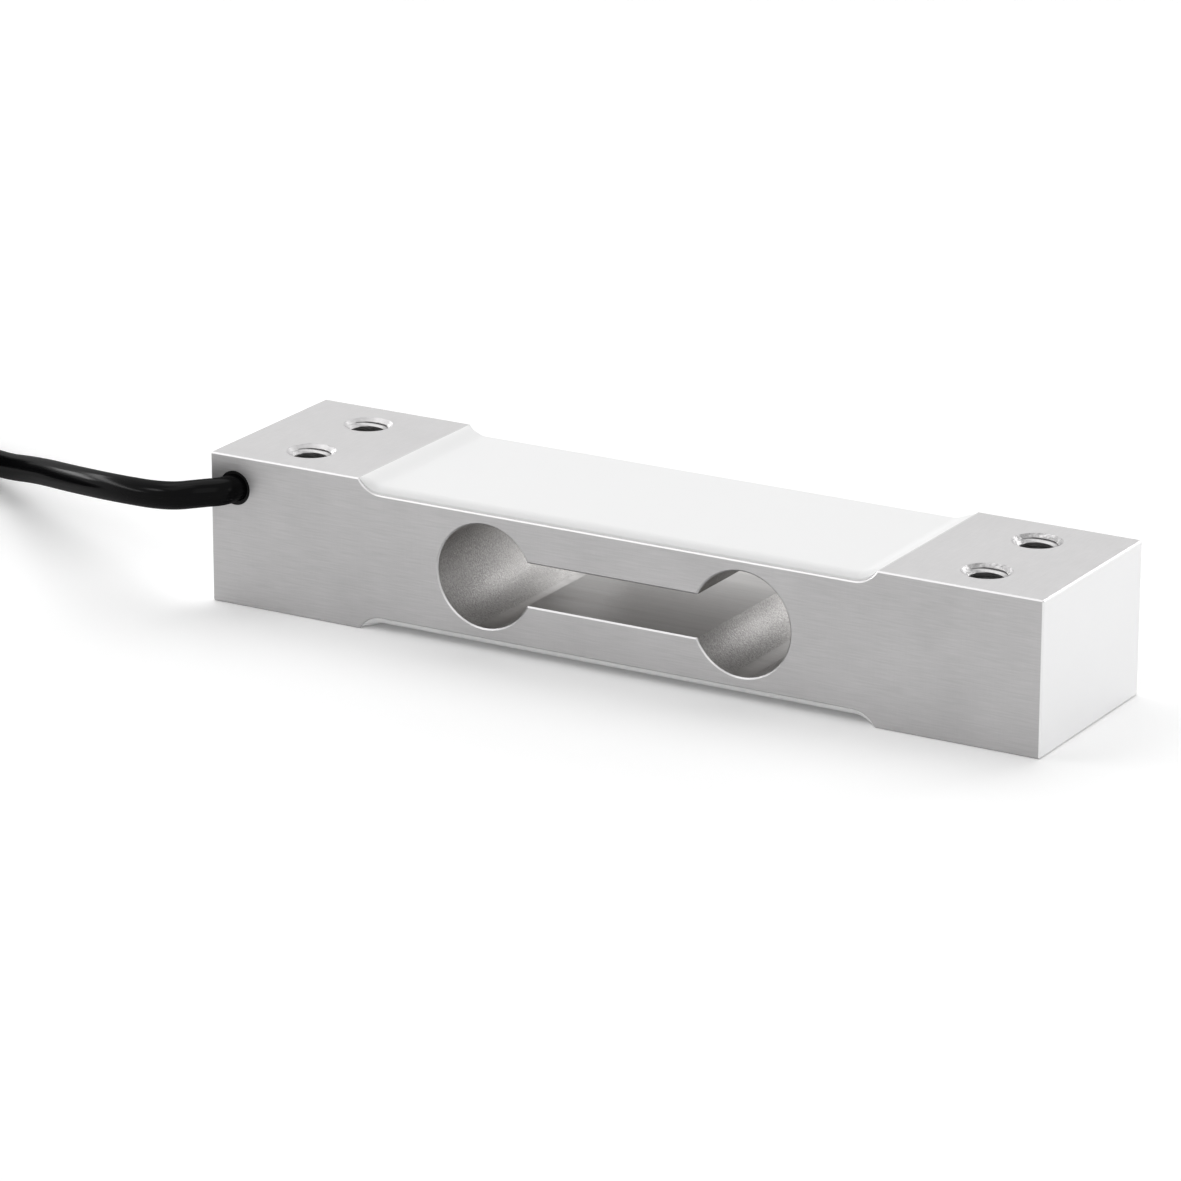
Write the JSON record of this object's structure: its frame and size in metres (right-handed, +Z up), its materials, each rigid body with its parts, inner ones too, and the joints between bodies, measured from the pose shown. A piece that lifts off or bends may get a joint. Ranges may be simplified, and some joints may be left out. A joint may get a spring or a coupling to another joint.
{
  "type": "single point load cell",
  "caption": "Bar-shaped weighing sensor: a beam cut by round bores joined by a slot, white gauge covers in shallow recesses, tapped end pads and a shielded cable.",
  "frame": {"origin": "middle of the beam's underside, on the plane of the two end pads' lower faces", "axes": "+X along the beam from the cable end to the load end, +Y away from the cable's side, +Z up through the beam's height"},
  "size_m": [0.2778, 0.0498, 0.022],
  "materials": {
    "beam_aluminium": "fine brushed side faces, clear anodised",
    "cover_silicone": "smooth white, satin",
    "gauge_carrier": "amber polyimide film",
    "gauge_foil": "etched resistance foil",
    "circuit_board": "glass epoxy board",
    "copper": "tinned copper pads",
    "resistor_ceramic": "ceramic with tinned caps",
    "solder": "solder",
    "enamelled_wire": "enamelled copper",
    "core_red": "insulated wire",
    "core_black": "insulated wire",
    "core_green": "insulated wire",
    "core_white": "insulated wire",
    "tinned_copper": "tinned strands",
    "seal_rubber": "smooth black",
    "crimp_brass": "plain",
    "potting": "cast resin",
    "cable_pvc": "smooth black, glossy",
    "sleeve_plastic": "heat-shrunk, matt black"
  },
  "bodies": {
    "root": {"beam_body": "beam_aluminium", "top_gauge_cover": "cover_silicone", "bottom_gauge_cover": "cover_silicone", "gauge_top_left_carrier": "gauge_carrier", "gauge_top_right_carrier": "gauge_carrier", "gauge_bottom_left_carrier": "gauge_carrier", "gauge_bottom_right_carrier": "gauge_carrier", "gauge_top_left_grid": "gauge_foil", "gauge_top_right_grid": "gauge_foil", "gauge_bottom_left_grid": "gauge_foil", "gauge_bottom_right_grid": "gauge_foil", "top_terminal_board": "circuit_board", "bottom_terminal_board": "circuit_board", "top_solder_pads": "copper", "bottom_solder_pads": "copper", "zero_balance_resistor": "resistor_ceramic", "span_resistors": "resistor_ceramic", "top_solder_joints": "solder", "bottom_solder_joints": "solder", "top_bridge_wires": "enamelled_wire", "bottom_bridge_wires": "enamelled_wire", "link_wires": "enamelled_wire", "core_red": "core_red", "core_black": "core_black", "core_green": "core_green", "core_white": "core_white", "core_conductors": "tinned_copper", "cable_seal": "seal_rubber", "cable_shield": "tinned_copper", "crimp_ring": "crimp_brass", "bore_potting": "potting", "cable_jacket": "cable_pvc", "cable_coil": "cable_pvc", "cable_tail": "cable_pvc", "end_sleeve": "sleeve_plastic", "lead_red": "core_red", "lead_black": "core_black", "lead_green": "core_green", "lead_white": "core_white", "tinned_ends": "tinned_copper", "drain_wire": "tinned_copper"}
  },
  "joints": []
}
